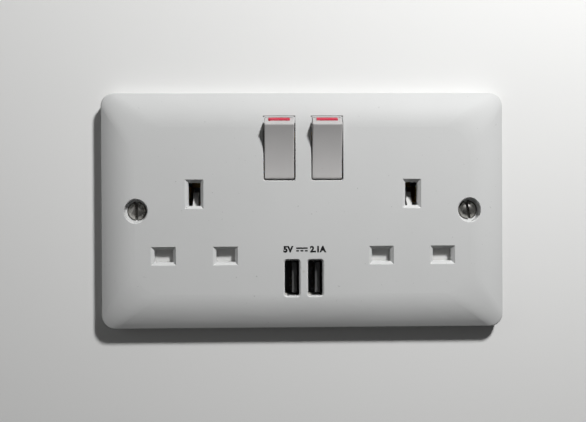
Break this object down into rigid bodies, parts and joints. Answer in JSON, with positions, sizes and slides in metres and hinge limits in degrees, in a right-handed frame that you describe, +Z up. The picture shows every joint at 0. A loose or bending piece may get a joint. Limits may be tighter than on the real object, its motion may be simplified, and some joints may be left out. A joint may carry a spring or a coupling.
{
  "type": "usb wall socket",
  "caption": "Switched mains wall socket with shuttered pin openings, rocker switches and upright charging ports in a white pillow-faced plate.",
  "frame": {"origin": "midway between the fixing screws, in the plane of the rim that lies on the wall", "axes": "+X to the right seen from the room, +Z up, +Y into the wall, so the face looks along -Y"},
  "size_m": [0.147, 0.0322, 0.086],
  "materials": {
    "plate_white": "gloss",
    "rocker_white": "satin",
    "mark_red": "gloss",
    "shutter_white": "satin",
    "housing_white": "matte",
    "plunger_plastic": "satin",
    "brass": "satin",
    "zinc_steel": "satin",
    "screw_nickel": "polished",
    "spring_steel": "satin",
    "silvered_copper": "satin",
    "port_steel": "satin",
    "port_black": "matte",
    "contact_gold": "gloss",
    "board_green": "satin",
    "ferrite": "matte",
    "winding_tape": "satin",
    "capacitor_sleeve": "gloss",
    "film_yellow": "satin",
    "chip_black": "matte",
    "wire_brown": "satin"
  },
  "bodies": {
    "case": {"front_plate": "plate_white", "rear_housing": "housing_white", "line_busbar": "brass", "neutral_busbar": "brass", "earth_busbar": "brass", "line_terminal": "brass", "neutral_terminal": "brass", "line_terminal_screw": "zinc_steel", "neutral_terminal_screw": "zinc_steel", "housing_screws": "zinc_steel", "charger_board": "board_green", "board_screws": "zinc_steel", "transformer_core": "ferrite", "transformer_winding": "winding_tape", "input_capacitor": "capacitor_sleeve", "output_capacitor": "capacitor_sleeve", "filter_capacitor": "film_yellow", "board_components": "chip_black", "line_feed_wire": "wire_brown", "neutral_feed_pin": "brass", "switched_line_left": "brass", "shutter_spring_left": "spring_steel", "fixing_screw_left": "screw_nickel", "earth_terminal_left": "brass", "earth_terminal_screw_left": "zinc_steel", "port_shell_left": "port_steel", "port_tongue_left": "port_black", "port_contacts_left": "contact_gold", "switched_line_right": "brass", "shutter_spring_right": "spring_steel", "fixing_screw_right": "screw_nickel", "earth_terminal_right": "brass", "earth_terminal_screw_right": "zinc_steel", "port_shell_right": "port_steel", "port_tongue_right": "port_black", "port_contacts_right": "contact_gold"},
    "rocker_left": {"rocker_left": "rocker_white", "on_mark_left": "mark_red", "plunger_spring_left": "spring_steel"},
    "plunger_left": {"plunger_left": "plunger_plastic"},
    "moving_contact_left": {"moving_contact_left": "silvered_copper"},
    "shutter_left": {"shutter_left": "shutter_white"},
    "rocker_right": {"rocker_right": "rocker_white", "on_mark_right": "mark_red", "plunger_spring_right": "spring_steel"},
    "plunger_right": {"plunger_right": "plunger_plastic"},
    "moving_contact_right": {"moving_contact_right": "silvered_copper"},
    "shutter_right": {"shutter_right": "shutter_white"}
  },
  "joints": [
    {"name": "rocker_left_tilt", "type": "hinge", "parent": "case", "child": "rocker_left", "pos_m": [-0.00862, -0.0056, 0.0225], "axis": [-1, 0, 0], "range_deg": [0, 26.6]},
    {"name": "moving_contact_left_tilt", "type": "hinge", "parent": "case", "child": "moving_contact_left", "pos_m": [-0.00862, 0.00405, 0.0225], "axis": [-1, 0, 0], "range_deg": [-27, 0]},
    {"name": "plunger_left_slide", "type": "slide", "parent": "rocker_left", "child": "plunger_left", "axis": [0, -0.9732, -0.23], "range_m": [0, 0.001], "stiffness_N_per_m": 500, "springref_m": -0.002, "deforming": ["plunger_spring_left"]},
    {"name": "shutter_left_slide", "type": "slide", "parent": "case", "child": "shutter_left", "axis": [0, 0, -1], "range_m": [0, 0.0054], "stiffness_N_per_m": 100, "springref_m": -0.004, "deforming": ["shutter_spring_left"]},
    {"name": "rocker_right_tilt", "type": "hinge", "parent": "case", "child": "rocker_right", "pos_m": [0.00862, -0.0056, 0.0225], "axis": [-1, 0, 0], "range_deg": [0, 26.6]},
    {"name": "moving_contact_right_tilt", "type": "hinge", "parent": "case", "child": "moving_contact_right", "pos_m": [0.00862, 0.00405, 0.0225], "axis": [-1, 0, 0], "range_deg": [-27, 0]},
    {"name": "plunger_right_slide", "type": "slide", "parent": "rocker_right", "child": "plunger_right", "axis": [0, -0.9732, -0.23], "range_m": [0, 0.001], "stiffness_N_per_m": 500, "springref_m": -0.002, "deforming": ["plunger_spring_right"]},
    {"name": "shutter_right_slide", "type": "slide", "parent": "case", "child": "shutter_right", "axis": [0, 0, -1], "range_m": [0, 0.0054], "stiffness_N_per_m": 100, "springref_m": -0.004, "deforming": ["shutter_spring_right"]}
  ],
  "couplings": [
    {"joint": "moving_contact_left_tilt", "follows": "rocker_left_tilt", "ratio": -0.67594},
    {"joint": "moving_contact_right_tilt", "follows": "rocker_right_tilt", "ratio": -0.67594}
  ]
}
